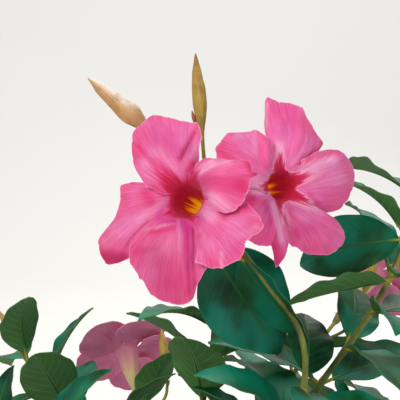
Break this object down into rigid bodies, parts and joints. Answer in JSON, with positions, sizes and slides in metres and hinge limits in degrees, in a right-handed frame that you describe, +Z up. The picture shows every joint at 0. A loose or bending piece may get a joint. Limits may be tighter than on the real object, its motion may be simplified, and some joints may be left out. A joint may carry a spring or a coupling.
{
  "type": "potted dipladenia",
  "caption": "Bushy dipladenia with pink trumpet blooms, slender buds and glossy leaves in a plain round terracotta pot",
  "frame": {"origin": "middle of the pot's underside, at the mount base", "axes": "+Z up the pot's axis, opposite to the mount's axis; -Y is the front, towards which the two open front blooms face; +X is the plant's right in that view"},
  "size_m": [0.3702, 0.3574, 0.4489],
  "materials": {
    "terracotta": "matte",
    "potting_soil": "matte",
    "foliage": "satin",
    "petal": "matte",
    "bud_green": "satin",
    "bud_cream": "satin",
    "bud_red": "satin"
  },
  "bodies": {
    "root": {"pot": "terracotta", "soil": "potting_soil", "leafy_stem_spray": "foliage", "leafy_stem_right": "foliage", "leafy_stem_left": "foliage", "leafy_stem_front": "foliage", "leafy_stem_low_right": "foliage", "leafy_stem_back_right": "foliage", "leafy_stem_back": "foliage", "leafy_stem_back_left": "foliage", "leafy_stem_middle": "foliage", "leafy_stem_front_left": "foliage", "leafy_stem_side_right": "foliage", "leafy_stem_front_middle": "foliage", "leafy_stem_far_left": "foliage", "bloom_front_left": "petal", "bloom_front_right": "petal", "bloom_left": "petal", "bloom_front": "petal", "bloom_low_right": "petal", "bloom_back_right": "petal", "bloom_back": "petal", "bud_top": "bud_green", "bud_pale": "bud_cream", "bud_young": "bud_red", "bud_right": "bud_green", "bud_left": "bud_green", "bud_front": "bud_green", "bud_low_right": "bud_green", "bud_back_right": "bud_green", "bud_back": "bud_green", "bud_back_left": "bud_green", "bud_middle": "bud_green"}
  },
  "joints": []
}
